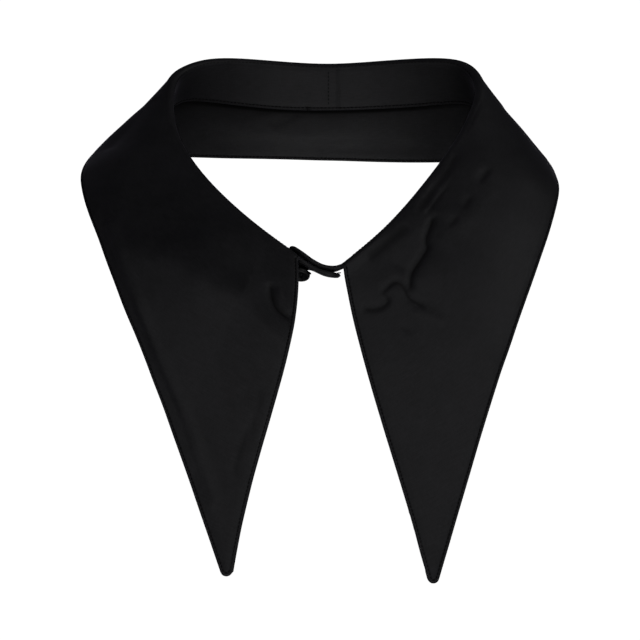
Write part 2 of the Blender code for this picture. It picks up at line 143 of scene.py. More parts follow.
# Wrinkles: side, places as station and share of the way down the fall, half width and depth in millimetres.
# A trough is positive, a ridge negative.
Wrinkle = namedtuple("Wrinkle", "name side places width depth")
WRINKLE_FADE = 4.0 * MM  # over which each ends
NARROW = 3.0  # millimetres: narrower troughs are creases, with painted shade in their bottom
WRINKLE_STEEP, WRINKLE_GENTLE = 0.75, 1.8  # of its width, on the side that hangs over and on the other
WRINKLE_WAY = np.array([0.35, 0.0, -0.94])  # towards a wrinkle's steep side
WRINKLES = [
    Wrinkle(
        "along the fold below the corner", 1,
        [(9.56, 0.03), (9.35, 0.035), (9.11, 0.045), (8.86, 0.055), (8.66, 0.074)], 2.6, 0.5,
    ),
    Wrinkle(
        "along the fold by the neck", 1,
        [(8.45, 0.065), (8.22, 0.06), (7.94, 0.059), (7.69, 0.06), (7.38, 0.055), (6.95, 0.035)], 1.8, 0.5,
    ),
    Wrinkle("second by the neck", 1, [(8.4, 0.11), (8.18, 0.113), (7.92, 0.109), (7.72, 0.11)], 1.4, 0.35),
    Wrinkle("rise between them", 1, [(8.4, 0.088), (8.1, 0.085), (7.8, 0.085), (7.4, 0.085)], 1.4, -0.3),
    Wrinkle("hollow down from the neck", 1, [(8.2, 0.13), (8.5, 0.18), (8.8, 0.225), (9.1, 0.25)], 5.0, 0.6),
    Wrinkle(
        "sharp crease in the hollow", 1,
        [
            (8.25, 0.155), (8.43, 0.18), (8.59, 0.205), (8.67, 0.24), (8.78, 0.25), (8.91, 0.245), (9.03, 0.25),
            (9.12, 0.27), (9.16, 0.3),
        ],
        1.4, 1.0,
    ),
    Wrinkle(
        "bow", 1,
        [
            (9.55, 0.185), (9.48, 0.184), (9.36, 0.19), (9.27, 0.216), (9.24, 0.254), (9.24, 0.283), (9.22, 0.32),
            (9.17, 0.365), (9.11, 0.419),
        ],
        1.2, 0.65,
    ),
    Wrinkle(
        "foot of the bow", 1,
        [(9.87, 0.15), (9.74, 0.185), (9.61, 0.215), (9.5, 0.23), (9.47, 0.215), (9.5, 0.185)], 1.3, 0.65,
    ),
    Wrinkle("rise below the bow", 1, [(9.27, 0.34), (9.2, 0.395), (9.09, 0.48), (9.02, 0.56)], 1.5, -0.35),
    Wrinkle("faint crease below the bow", 1, [(9.48, 0.33), (9.42, 0.375), (9.34, 0.43)], 1.5, 0.25),
    Wrinkle("drag line, first", 1, [(6.75, 0.329), (7.0, 0.315), (7.23, 0.305)], 1.6, 0.5),
    Wrinkle("drag line, second", 1, [(7.47, 0.305), (7.63, 0.3), (7.81, 0.3)], 1.5, 0.4),
    Wrinkle("drag line, third", 1, [(7.92, 0.295), (8.09, 0.285), (8.24, 0.275)], 1.5, 0.45),
    Wrinkle("drag line, last", 1, [(8.35, 0.255), (8.47, 0.245)], 1.3, 0.3),
    Wrinkle("rise beyond the drag line", 1, [(7.0, 0.42), (7.6, 0.38), (8.2, 0.33)], 4.0, -0.2),
    Wrinkle(
        "rise along the outer edge", -1,
        [(7.0, 0.84), (7.37, 0.85), (7.88, 0.86), (8.36, 0.87), (8.78, 0.88), (9.23, 0.87), (9.55, 0.89), (9.75, 0.9)],
        2.1, -1.1,
    ),
    Wrinkle(
        "hook by the front edge", -1,
        [(9.57, 0.14), (9.62, 0.163), (9.68, 0.19), (9.79, 0.202), (9.9, 0.197), (9.97, 0.195)], 1.4, 1.0,
    ),
    Wrinkle("rise in the hook", -1, [(9.66, 0.14), (9.75, 0.168), (9.86, 0.175), (9.96, 0.178)], 1.2, -0.6),
    Wrinkle("along the front edge", -1, [(9.84, 0.44), (9.86, 0.53), (9.84, 0.63), (9.81, 0.75)], 1.7, 0.36),
    Wrinkle(
        "turned allowance", 1,
        [(-2.9, 0.6), (-2.0, 0.66), (-1.0, 0.7), (0.0, 0.72), (1.0, 0.73), (2.0, 0.74), (2.9, 0.73)], 4.5, 0.7,
    ),
    Wrinkle("back diagonal", -1, [(0.3, 0.46), (0.6, 0.56), (0.95, 0.66)], 2.0, -0.35),
    Wrinkle("second back diagonal", -1, [(0.9, 0.44), (1.2, 0.52), (1.5, 0.58)], 2.4, -0.3),
    Wrinkle("centre back crease", -1, [(0.0, 0.76), (0.0, 0.97)], 0.9, -0.22),
    Wrinkle("back right", 1, [(1.3, 0.3), (1.7, 0.55), (2.3, 0.7)], 4.0, 0.3),
    Wrinkle("left shoulder", -1, [(4.3, 0.2), (4.9, 0.4), (5.3, 0.7)], 4.5, 0.4),
    Wrinkle("right shoulder", 1, [(4.1, 0.3), (4.4, 0.55), (4.7, 0.8)], 4.5, 0.4),
]


def unit(vectors):
    """Each vector divided by its length."""
    return vectors / np.maximum(np.linalg.norm(vectors, axis=-1, keepdims=True), 1e-12)


def smooth_step(value):
    """0 below 0, 1 above 1, and 3 v^2 - 2 v^3 between."""
    v = np.clip(value, 0, 1)
    return v * v * (3 - 2 * v)


def smooth_curve(rows, knots, at):
    """The natural cubic curve through the rows, which stand at the knots, read at each value of at."""
    step = np.diff(knots)
    system = np.eye(len(rows))
    change = np.zeros_like(rows)
    for i in range(1, len(rows) - 1):
        system[i, i - 1 : i + 2] = step[i - 1] / 6, (step[i - 1] + step[i]) / 3, step[i] / 6
        change[i] = (rows[i + 1] - rows[i]) / step[i] - (rows[i] - rows[i - 1]) / step[i - 1]
    bend = np.linalg.solve(system, change)
    at = np.clip(at, knots[0], knots[-1])
    i = np.clip(np.searchsorted(knots, at, "right") - 1, 0, len(rows) - 2)
    after = ((at - knots[i]) / step[i])[:, None]
    before = 1 - after
    straight = before * rows[i] + after * rows[i + 1]
    curved = (before**3 - before) * bend[i] + (after**3 - after) * bend[i + 1]
    return straight + curved * step[i][:, None] ** 2 / 6


def section_rows():
    """All sections from the left corner to the right corner, out turned into x."""
    rows = []
    for side, sections in ((-1, LEFT_SECTIONS[:0:-1]), (1, RIGHT_SECTIONS)):
        for s in sections:
            fold = (side * s.fold_out, s.fold_y, s.fold_z)
            edge = (side * s.edge_out, s.edge_y, s.edge_z)
            rows.append((*fold, *edge, s.height, s.crown, s.lean))
    return np.array(rows)


SECTION_ROWS = section_rows()


def sections_at(at):
    """Fold point, edge point, stand height, crown and lean in radians at each station."""
    values = smooth_curve(SECTION_ROWS, np.arange(-LAST, LAST + 1.0), np.asarray(at, float))
    lean = np.radians(values[:, 8])
    return values[:, 0:3] * MM, values[:, 3:6] * MM, values[:, 6] * MM, values[:, 7] * MM, lean


def stand_up(points, lean):
    """The stand's upward direction: leaning forward by lean, and inwards at the sides of the neck."""
    tuck = radians(STAND_TUCK) * points[:, 0] / NECK_HALF_WIDTH
    return unit(np.stack([-np.sin(tuck), -np.sin(lean), np.cos(lean)], axis=-1))


def seam_frame(at):
    """The line where stand and fall meet, with the stand's up direction, the way in and the way along."""
    reach = 0.02
    fold, _, _, _, lean = sections_at(at)
    ahead = sections_at(np.clip(at + reach, -LAST, LAST))[0]
    behind = sections_at(np.clip(at - reach, -LAST, LAST))[0]
    along = unit(ahead - behind)
    up = stand_up(fold, lean)
    inward = unit(np.cross(along, up))
    return fold + ROLL_RADIUS * (inward - up), up, inward, along


def rounded_tip(side):
    """The station where a leaf's rounded tip starts, and a function of 0..1 round its arc, which touches the
    outer edge and the front edge."""
    stations = np.linspace(LAST - 1.5, LAST, 601)
    edge = sections_at(stations * side)[1]
    point = edge[-1]
    corner = sections_at(np.array([LAST * side]))[0][0]
    to_corner = unit(corner - point)
    to_shoulder = unit(edge[-60] - point)
    half_angle = np.arccos(to_corner @ to_shoulder) / 2
    setback = TIP_RADIUS / np.tan(half_angle)
    start = np.interp(-setback, -np.linalg.norm(edge - point, axis=1), stations)
    centre = point + unit(to_corner + to_shoulder) * TIP_RADIUS / np.sin(half_angle)
    first = point + to_shoulder * setback - centre
    last = point + to_corner * setback - centre
    sweep = pi - 2 * half_angle

    def arc(share):
        angle = share[:, None] * sweep
        return centre + (np.sin(sweep - angle) * first + np.sin(angle) * last) / np.sin(sweep)

    return start, arc


def fall_columns():
    """Stations of the fall's columns from the left corner to the right one, and the edge point of each. They
    close up towards the front edges by EDGE_STEPS, and the last ones run to the arc of the tip."""
    stations, edges = [], []
    for side in (-1, 1):
        start, arc = rounded_tip(side)
        closing = LAST - EDGE_STEPS / STATION_WIDTH
        plain = np.concatenate([i + np.arange(n) / n for i, n in enumerate(COLUMNS_A_SECTION)])
        at = np.concatenate([plain[plain < closing[0] - 0.01], closing])
        turned = np.clip((at - start) / (LAST - start), 0, 1)
        edge = sections_at(at * side)[1]
        edge[at > start] = arc(turned[at > start])
        at = at * side
        if side < 0:
            at, edge = at[:0:-1], edge[:0:-1]
        stations.append(at)
        edges.append(edge)
    return np.concatenate(stations), np.concatenate(edges)


def fall_surface(at, edge):
    """Middle surface of the fall: columns along the neck, rows from the seam over the roll to the outer edge.

    A row is an arc of the roll's radius from the stand's up direction to the way down, and then a straight run
    with a crown of 4 s (1 - s) times its height, s being the share of the run. Returns the points, s (0 in the
    roll) and the distance gone from the seam."""
    _, _, _, crown, _ = sections_at(at)
    top, up, inward, along = seam_frame(at)
    outward = -inward
    start = sections_at(at)[0]
    for _ in range(4):
        run = edge - start
        face = unit(np.cross(along, run))
        lead = run + 4 * crown[:, None] * face
        turn = np.arctan2((lead * outward).sum(axis=1), (lead * up).sum(axis=1)) % (2 * pi)
        rise = np.sin(turn)[:, None] * up + (1 - np.cos(turn))[:, None] * outward
        start = top + ROLL_RADIUS * rise
    angle = turn[:, None] * ROLL_SHARES
    turned = np.sin(angle)[..., None] * up[:, None] + (1 - np.cos(angle))[..., None] * outward[:, None]
    roll = top[:, None] + ROLL_RADIUS * turned
    length = np.linalg.norm(run, axis=1)
    close = EDGE_STEPS[2:]
    regular = (1 - close[0] / length)[:, None] * np.arange(1, FALL_ROWS + 1) / FALL_ROWS
    s = np.concatenate([regular, 1 - close[1:] / length[:, None]], axis=1)
    bulge = (4 * s * (1 - s) * crown[:, None])[..., None] * face[:, None]
    fall = start[:, None] + s[..., None] * run[:, None] + bulge
    for side, (rise, power) in FRONT_BOW.items():
        near = np.clip((at * side - LAST + BOW_REACH) / BOW_REACH, 0, 1) ** 2
        straight = unit(run)
        inner = np.array([-side, 0.0, 0.0])
        across = unit(inner - (straight @ inner)[:, None] * straight)
        peak = 1 / (1 + power)
        bow = s * (1 - s) ** power / (peak * (1 - peak) ** power)
        fall += (near[:, None] * bow * rise)[..., None] * across[:, None]
    share = np.concatenate([np.zeros_like(angle), s], axis=1)
    points = np.concatenate([roll, fall], axis=1)
    gone = np.concatenate([angle * ROLL_RADIUS, (turn * ROLL_RADIUS)[:, None] + s * length[:, None]], axis=1)
    return points, share, gone


def tab_curve(at, side):
    """Top edge, height and lean of one tab, at stations past the corner; the sections before it lead in."""
    tab = TABS[side]
    before = np.array([LAST - 2.0, LAST - 1.0, LAST]) * side
    _, _, height, _, lean = sections_at(before)
    lead_in = np.column_stack([seam_frame(before)[0], height, lean])
    rows = [(t.x * MM, t.y * MM, t.z * MM, t.height * MM, radians(t.lean)) for t in tab]
    rows = np.concatenate([lead_in, rows])
    knots = np.concatenate([[0], np.cumsum(np.linalg.norm(np.diff(rows[:, :3], axis=0), axis=1))])
    share = (at * side - LAST) / len(tab)
    values = smooth_curve(rows, knots, knots[2] + share * (knots[-1] - knots[2]))
    return values[:, 0:3], values[:, 3], values[:, 4]


def stand_end(side):
    """How many stations from the centre back a tab ends."""
    return LAST + len(TABS[side])


def stand_columns():
    """Stations of the stand's columns, which close up towards the ends of the tabs and at the back seam."""
    ring = np.arange(-LAST * STAND_COLUMNS_A_SECTION, LAST * STAND_COLUMNS_A_SECTION + 1) / STAND_COLUMNS_A_SECTION
    by_seam = BACK_SEAM_STATION + np.array([-0.06, -0.035, -0.018, 0.0, 0.018, 0.035, 0.06])
    ring = ring[np.abs(ring - BACK_SEAM_STATION) > 0.07]
    stations = [ring, by_seam]
    for side in (-1, 1):
        end = stand_end(side)
        dense = np.linspace(LAST, end, 801) * side
        top = tab_curve(dense, side)[0]
        to_end = np.concatenate([[0], np.cumsum(np.linalg.norm(np.diff(top[::-1], axis=0), axis=1))])
        turn = np.linspace(0, pi / 2, 13)
        corner = TAB_END_RADIUS[side] * (1 - np.cos(turn))
        corner = np.unique(np.concatenate([corner, EDGE_STEPS[2:], [0.03 * MM]]))
        corner = np.interp(corner, to_end, dense[::-1])
        plain = np.arange(LAST + TAB_STEP, np.abs(corner).min() - 0.5 * TAB_STEP, TAB_STEP) * side
        stations += [plain, corner]
    return np.sort(np.concatenate(stations))


def stand_surface(at):
    """Middle surface of the stand: columns from the left tab's end to the right tab's, rows from the top to the
    bottom edge. At the tabs' ends both edges are trimmed by r - sqrt(r^2 - x^2), which rounds the corners."""
    inside = np.clip(at, -LAST, LAST)
    _, _, height, _, lean = sections_at(inside)
    top = seam_frame(inside)[0]
    for side in (-1, 1):
        past = at * side > LAST
        top[past], height[past], lean[past] = tab_curve(at[past], side)
    up = stand_up(top, lean)
    high = np.zeros(len(at))
    low = np.ones(len(at))
    travelled = np.concatenate([[0], np.cumsum(np.linalg.norm(np.diff(top, axis=0), axis=1))])
    for side, to_end in ((-1, travelled), (1, travelled[-1] - travelled)):
        radius = TAB_END_RADIUS[side]
        short = np.clip(radius - to_end, 0, radius)
        trim = (radius - np.sqrt(radius**2 - short**2)) / height
        high = np.maximum(high, trim)
        low = np.minimum(low, 1 - trim)
    close = EDGE_STEPS[:1:-1] / STAND_REFERENCE
    middle = np.linspace(close[-1], 1 - close[-1], STAND_ROWS + 1)[1:-1]
    rows = np.concatenate([close, middle, 1 - close[::-1]])
    drop = (high[:, None] + (low - high)[:, None] * rows) * height[:, None]
    points = top[:, None] - drop[..., None] * up[:, None]
    return points, drop


def bisector(points, axis):
    """Direction along an axis of the grid at each point, the mean of the steps before and after it."""
    steps = unit(np.diff(points, axis=axis))
    padding = [(0, 0)] * points.ndim
    padding[axis] = (1, 1)
    steps = np.pad(steps, padding, mode="edge")
    size = points.shape[axis]
    return unit(steps.take(range(size), axis) + steps.take(range(1, size + 1), axis))


def normals(surface):
    """Unit normals of a grid, along columns crossed with down rows."""
    return unit(np.cross(bisector(surface, 0), bisector(surface, 1)))


def line_distance(points, line):
    """Distance of each point from a line of points, how far along the line, 0..1, its nearest place is, and the
    way from there to the point."""
    a, step = line[:-1], np.diff(line, axis=0)
    size = np.maximum((step**2).sum(axis=1), 1e-16)
    gone = np.concatenate([[0], np.cumsum(np.sqrt(size))])
    best, place, ways = [], [], []
    for part in np.array_split(points, max(1, len(points) * len(a) // 2_000_000)):
        share = ((part @ step.T) - (a * step).sum(axis=1)) / size
        share = np.clip(share, 0, 1)
        near = a + share[..., None] * step
        away = ((part[:, None] - near) ** 2).sum(axis=-1)
        k = away.argmin(axis=1)
        i = np.arange(len(part))
        best.append(np.sqrt(away[i, k]))
        place.append((gone[k] + share[i, k] * np.sqrt(size[k])) / gone[-1])
        ways.append(part - near[i, k])
    return np.concatenate(best), np.concatenate(place), unit(np.concatenate(ways))


def edge_distance(surface, line, near):
    """Distance of the grid's points from the free edge, worked out where near is true and FAR elsewhere."""
    distance = np.full(surface.shape[:2], FAR)
    distance[near] = line_distance(surface[near], line)[0]
    return distance


def wavy(points, seed, size, height):
    """Height of a smooth random swell at each point: a sum of six sine waves of about the given length."""
    chance = np.random.default_rng(seed)
    swell = np.zeros(points.shape[:-1])
    for _ in range(6):
        way = unit(chance.normal(size=3)) * 2 * pi / (size * chance.uniform(0.7, 1.6))
        swell += np.sin(points @ way + chance.uniform(0, 2 * pi))
    return swell * height / 2.5


def break_left_leaf(at, share, gone, surface):
    """The left leaf stands out towards the front over the break: by BREAK_RISE * s / s0 above it, s0 being the
    line's share, and less and less over BREAK_FALL below it, with the two blended over BREAK_ROUND."""
    station = -at
    stations, shares = np.array(BREAK_LINE).T
    line = np.interp(station, stations, shares)[:, None]
    past = (share - line) * gone[:, -1:]
    below = smooth_step(past / BREAK_ROUND + 0.5)
    tent = share / line * (1 - below) + (1 - smooth_step(past / BREAK_FALL)) * below
    grown = smooth_step((station - BREAK_FROM) / (BREAK_FULL - BREAK_FROM))[:, None]
    return surface + (BREAK_RISE * grown * tent)[..., None] * SIGHT


def add_wrinkles(at, share, surface):
    """The fall with its wrinkles: each pressed in by depth * exp(-(d / width)^2), d being the distance from its
    line, fading out towards both ends, over a soft swell of the whole cloth. The width goes from WRINKLE_STEEP of
    itself on the side of WRINKLE_WAY to WRINKLE_GENTLE of itself on the other. Returns the fall and, 0..1, how
    deep each point lies in a narrow crease, which the cloth's material turns into painted shade."""
    face = normals(surface)
    pressed = wavy(surface, 5, 38 * MM, 0.3 * MM) + wavy(surface, 8, 17 * MM, 0.1 * MM)
    crease = np.zeros(share.shape)
    flat = surface.reshape(-1, 3)
    first_row = len(ROLL_SHARES)
    for w in WRINKLES:
        line = []
        for station, down in w.places:
            column = np.abs(at - w.side * station).argmin()
            row = first_row + np.abs(share[column, first_row:] - down).argmin()
            line.append(surface[column, row])
        line = np.array(line)
        knots = np.arange(len(line), dtype=float)
        if len(line) > 2:
            line = smooth_curve(line, knots, np.linspace(0, knots[-1], 24))
        width = w.width * MM
        near = np.linalg.norm(flat - line.mean(axis=0), axis=1)
        near = near < np.linalg.norm(line - line.mean(axis=0), axis=1).max() + 3 * WRINKLE_GENTLE * width
        near = near & (share.ravel() > 0)
        distance, place, way = line_distance(flat[near], line)
        turned = 0.5 - 0.5 * (way @ WRINKLE_WAY) * np.clip(3 * distance / width, 0, 1)
        width = width * (WRINKLE_STEEP + (WRINKLE_GENTLE - WRINKLE_STEEP) * turned)
        length = np.linalg.norm(np.diff(line, axis=0), axis=1).sum()
        fade = smooth_step(np.minimum(place, 1 - place) * length / WRINKLE_FADE + 0.1)
        pressed.reshape(-1)[near] += w.depth * MM * np.exp(-((distance / width) ** 2)) * fade
        # Narrow creases get painted shade: their depth goes into the crease attribute that darkens the base colour
        if w.width < NARROW:
            crease.reshape(-1)[near] += w.depth * np.exp(-((1.3 * distance / (w.width * MM)) ** 2)) * fade
    crease *= smooth_step(pressed / (0.2 * MM) + 0.5)
    roll_in = smooth_step(share * 25)
    return surface - face * (pressed * roll_in)[..., None], np.clip(crease, 0, 1)


def wall(distance, seam_distance):
    """Half thickness of the sewn layers: rounded like a quarter ellipse at the free edges, drawn in along the
    topstitching and a little at the seam."""
    full = RIM_WALL + (HALF_WALL - RIM_WALL) * smooth_step((distance - STITCH_INSET) / (3 * MM))
    rim = np.sqrt(np.clip(1 - (1 - np.clip(distance / RIM_WALL, 0, 1)) ** 2, 0, 1))
    ditch = STITCH_DITCH * np.exp(-(((distance - STITCH_INSET) / (0.3 * MM)) ** 2))
    seam = SEAM_DITCH * np.exp(-((seam_distance / (0.5 * MM)) ** 2))
    return full * rim - ditch - seam * rim


def grid_mesh(name, points, flip=False, uv=None, crease=None):
    """A mesh of the grid's quads, smooth, with the uv map in metres of cloth and a crease attribute of painted shade.
    """
    columns, rows = points.shape[:2]
    number = np.arange(columns * rows).reshape(columns, rows)
    quads = [number[:-1, :-1], number[1:, :-1], number[1:, 1:], number[:-1, 1:]]
    quads = np.stack(quads[::-1] if flip else quads, axis=-1).reshape(-1, 4)
    mesh = bpy.data.meshes.new(name)
    mesh.vertices.add(columns * rows)
    mesh.vertices.foreach_set("co", points.reshape(-1).astype(np.float32))
    mesh.loops.add(quads.size)
    mesh.loops.foreach_set("vertex_index", quads.ravel().astype(np.int32))
    mesh.polygons.add(len(quads))
    mesh.polygons.foreach_set("loop_start", np.arange(0, quads.size, 4, dtype=np.int32))
    mesh.update(calc_edges=True)
    if uv is not None:
        layer = mesh.uv_layers.new(name="cloth")
        layer.data.foreach_set("uv", uv.reshape(-1, 2)[quads.ravel()].astype(np.float32).ravel())
    if crease is not None:
        layer = mesh.attributes.new("crease", "FLOAT", "POINT")
        layer.data.foreach_set("value", crease.ravel().astype(np.float32))
    mesh.shade_smooth()
    mesh.validate()
    return mesh


def piece(name, mesh, material, slot_name, *nodes):
    """The object for a mesh, riding with the collar and standing for the named nodes."""
    mesh.materials.append(material)
    made = bpy.data.objects.new(name, mesh)
    bpy.context.scene.collection.objects.link(made)
    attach(made, "root")
    if nodes:
        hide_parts(*nodes)
    return made


def join_grids(name, grids):
    """One mesh from several grids of the same shape: an array of grids, each closed round its first axis."""
    count, rings, around = grids.shape[:3]
    number = np.arange(count * rings * around).reshape(count, rings, around)
    following = np.roll(number, -1, axis=2)
    quads = np.stack([number[:, :-1], following[:, :-1], following[:, 1:], number[:, 1:]], axis=-1)
    mesh = bpy.data.meshes.new(name)
    mesh.from_pydata(grids.reshape(-1, 3).tolist(), [], quads.reshape(-1, 4).tolist())
    mesh.shade_smooth()
    return mesh


def resample(line, others, pitch):
    """Points every pitch along a line, with the other arrays read at the same places."""
    gone = np.concatenate([[0], np.cumsum(np.linalg.norm(np.diff(line, axis=0), axis=1))])
    count = max(2, int(gone[-1] / pitch))
    at = (np.arange(count) + 0.5) * gone[-1] / count
    read = [np.stack([np.interp(at, gone, values[:, k]) for k in range(3)], axis=1) for values in [line, *others]]
    return read


def stitch_grids(line, faces, length=STITCH_LENGTH, radius=STITCH_RADIUS, pitch=STITCH_PITCH, lift=STITCH_LIFT):
    """Stitches along a line on a surface: tubes of five rings that dive into the cloth at both ends."""
    where, face = resample(line, [faces], pitch)
    face = unit(face)
    way = unit(np.gradient(where, axis=0))
    side = unit(np.cross(way, face))
    ends = np.array([-1.0, -0.97, -0.6, 0.0, 0.6, 0.97, 1.0])
    thick = np.array([0.02, 0.6, 1.0, 1.0, 1.0, 0.6, 0.02])
    arch = lift * (1 - 1.6 * ends**2)
    turn = np.arange(6) * pi / 3
    spine = where[:, None] + way[:, None] * (ends * length / 2)[:, None] + face[:, None] * arch[:, None]
    ring = np.cos(turn)[:, None] * side[:, None, None] + np.sin(turn)[:, None] * face[:, None, None]
    return spine[:, :, None] + ring * (thick * radius)[:, None, None]


def tube_mesh(name, path, radii, around=12):
    """A tube along a path, with a radius at each point and closed by its thin ends."""
    way = unit(np.gradient(path, axis=0))
    first = unit(np.cross(way, [0.3, 0.2, 0.93]))
    second = np.cross(way, first)
    turn = np.arange(around) * 2 * pi / around
    ring = np.cos(turn)[:, None] * first[:, None] + np.sin(turn)[:, None] * second[:, None]
    return join_grids(name, (path[:, None] + ring * radii[:, None, None])[None])


class Nodes:
    """A material's node tree, with short calls to add nodes and to link them."""

    def __init__(self, name):
        self.material = bpy.data.materials.new(name)
        self.material.use_nodes = True
        self.tree = self.material.node_tree
        self.shader = self.tree.nodes["Principled BSDF"]

    def add(self, kind, **inputs):
        node = self.tree.nodes.new(kind)
        for key, value in inputs.items():
            socket = node.inputs[key.replace("_", " ")]
            if isinstance(value, bpy.types.NodeSocket):
                self.tree.links.new(value, socket)
            else:
                socket.default_value = value
        return node

    def link(self, a, b):
        self.tree.links.new(a, b)

    def math(self, operation, a, b=0.0, c=0.0):
        node = self.tree.nodes.new("ShaderNodeMath")
        node.operation = operation
        for i, value in enumerate((a, b, c)):
            if isinstance(value, bpy.types.NodeSocket):
                self.tree.links.new(value, node.inputs[i])
            else:
                node.inputs[i].default_value = value
        return node.outputs[0]

    def stretched(self, vector, scale):
        node = self.add("ShaderNodeMapping", Vector=vector)
        node.inputs["Scale"].default_value = scale
        return node.outputs[0]

    def noise(self, vector, scale, detail=2.0, roughness=0.5):
        inputs = {"Vector": vector, "Scale": scale, "Detail": detail, "Roughness": roughness}
        return self.add("ShaderNodeTexNoise", **inputs).outputs["Fac"]


def sateen(name, tone=1.0, reach=6 * MM, power=3.0):
    """Black cotton sateen: fine threads along and across from two stretched noises, a soft uneven dye, a faint
    sheen and a few specks of lint. Painted shade: where it is closed in, by 1 - AO^power (1 - 0.85 crease) with the
    ambient occlusion read within reach and the crease attribute's painted shade, the base colour is painted near
    black, and the cloth is also duller."""
    n = Nodes(name)
    uv = n.tree.nodes.new("ShaderNodeUVMap")
    uv.uv_map = "cloth"
    cloth = uv.outputs[0]
    place = n.tree.nodes.new("ShaderNodeTexCoord").outputs["Object"]
    warp = n.noise(n.stretched(cloth, (260, 2600, 1)), 1.0, 2.0)
    weft = n.noise(n.stretched(cloth, (2600, 420, 1)), 1.0, 2.0)
    weave = n.math("ADD", n.math("MULTIPLY", warp, 0.6), n.math("MULTIPLY", weft, 0.4))
    broad = n.noise(place, 28.0, 3.0, 0.6)
    patch = n.noise(place, 120.0, 3.0, 0.6)
    dye = n.math("ADD", n.math("MULTIPLY", broad, 0.5), n.math("MULTIPLY", patch, 0.5))
    shade = n.math("ADD", n.math("MULTIPLY", dye, 0.7), n.math("MULTIPLY", weave, 0.9))
    ramp = n.tree.nodes.new("ShaderNodeValToRGB")
    n.link(shade, ramp.inputs[0])
    low, high = ramp.color_ramp.elements
    low.position, high.position = 0.6, 1.0
    low.color = (0.0075 * tone, 0.0074 * tone, 0.0085 * tone, 1)
    high.color = (0.0165 * tone, 0.0162 * tone, 0.0185 * tone, 1)
    speck = n.tree.nodes.new("ShaderNodeTexVoronoi")
    n.link(place, speck.inputs["Vector"])
    speck.inputs["Scale"].default_value = 70.0
    dot = n.math("LESS_THAN", speck.outputs["Distance"], 0.022)
    rare = n.math("GREATER_THAN", n.noise(place, 35.0, 0.0), 0.6)
    lint = n.math("MULTIPLY", dot, rare)
    mix = n.tree.nodes.new("ShaderNodeMix")
    mix.data_type = "RGBA"
    n.link(lint, mix.inputs["Factor"])
    n.link(ramp.outputs[0], mix.inputs["A"])
    mix.inputs["B"].default_value = (0.06, 0.06, 0.065, 1)
    # Painted shade: the ambient occlusion within reach darkens the base colour below
    gap = n.add("ShaderNodeAmbientOcclusion", Distance=reach)
    gap.samples = 8
    # The crease attribute holds painted shade: the bottoms of narrow creases, and the under collar just below the
    # stand
    pressed = n.tree.nodes.new("ShaderNodeAttribute")
    pressed.attribute_name = "crease"
    clear = n.math("MULTIPLY_ADD", pressed.outputs["Fac"], -0.85, 1.0)
    closed = n.math("SUBTRACT", 1.0, n.math("MULTIPLY", n.math("POWER", gap.outputs["AO"], power), clear))
    # Painted shade: the base colour mixed towards near black as far as the place is closed in
    deep = n.tree.nodes.new("ShaderNodeMix")
    deep.data_type = "RGBA"
    n.link(closed, deep.inputs["Factor"])
    n.link(mix.outputs["Result"], deep.inputs["A"])
    deep.inputs["B"].default_value = (0.0008, 0.0008, 0.0009, 1)
    n.link(deep.outputs["Result"], n.shader.inputs["Base Color"])
    rough = n.math("ADD", 0.42, n.math("MULTIPLY", dye, 0.22))
    rough = n.math("ADD", rough, n.math("MULTIPLY", closed, 0.45))
    n.link(rough, n.shader.inputs["Roughness"])
    n.shader.inputs["Specular IOR Level"].default_value = 0.22
    n.shader.inputs["Sheen Weight"].default_value = 0.12
    n.shader.inputs["Sheen Roughness"].default_value = 0.4
    n.shader.inputs["Sheen Tint"].default_value = (0.75, 0.72, 0.9, 1)
    height = n.math("ADD", n.math("MULTIPLY", weave, 0.12), n.math("MULTIPLY", patch, 0.25))
    bump = n.add("ShaderNodeBump", Height=height, Strength=0.6, Distance=0.0006)
    n.link(bump.outputs[0], n.shader.inputs["Normal"])
    return n.material


def thread_finish(name):
    """Black sewing thread with a soft gloss and a fine twist."""
    n = Nodes(name)
    place = n.tree.nodes.new("ShaderNodeTexCoord").outputs["Object"]
    twist = n.noise(place, 2600.0, 1.0)
    ramp = n.tree.nodes.new("ShaderNodeValToRGB")
    n.link(twist, ramp.inputs[0])
    low, high = ramp.color_ramp.elements
    low.color, high.color = (0.0012, 0.0012, 0.0014, 1), (0.004, 0.004, 0.0045, 1)
    n.link(ramp.outputs[0], n.shader.inputs["Base Color"])
    n.shader.inputs["Roughness"].default_value = 0.6
    n.shader.inputs["Specular IOR Level"].default_value = 0.08
    bump = n.add("ShaderNodeBump", Height=twist, Strength=0.4, Distance=0.0002)
    n.link(bump.outputs[0], n.shader.inputs["Normal"])
    return n.material


def button_finish(name):
    """Black moulded resin, half gloss, with fine wear on the rim."""
    n = Nodes(name)
    place = n.tree.nodes.new("ShaderNodeTexCoord").outputs["Object"]
    cloud = n.noise(place, 900.0, 3.0)
    ramp = n.tree.nodes.new("ShaderNodeValToRGB")
    n.link(cloud, ramp.inputs[0])
    low, high = ramp.color_ramp.elements
    low.color, high.color = (0.003, 0.003, 0.0033, 1), (0.008, 0.008, 0.0085, 1)
    n.link(ramp.outputs[0], n.shader.inputs["Base Color"])
    rough = n.math("ADD", 0.4, n.math("MULTIPLY", cloud, 0.2))
    n.link(rough, n.shader.inputs["Roughness"])
    n.shader.inputs["Specular IOR Level"].default_value = 0.28
    scratches = n.noise(n.stretched(place, (400, 4000, 900)), 1.0, 3.0)
    bump = n.add("ShaderNodeBump", Height=scratches, Strength=0.15, Distance=0.0001)
    n.link(bump.outputs[0], n.shader.inputs["Normal"])
    return n.material


# Cloth of the fall
fall_at, fall_edge = fall_columns()
fall_middle, fall_share, fall_gone = fall_surface(fall_at, fall_edge)
fall_middle = break_left_leaf(fall_at, fall_share, fall_gone, fall_middle)
fall_middle, fall_painted_crease_shade = add_wrinkles(fall_at, fall_share, fall_middle)
fall_face = normals(fall_middle)
fall_rim = np.concatenate([fall_middle[0], fall_middle[1:-1, -1], fall_middle[-1, ::-1]])
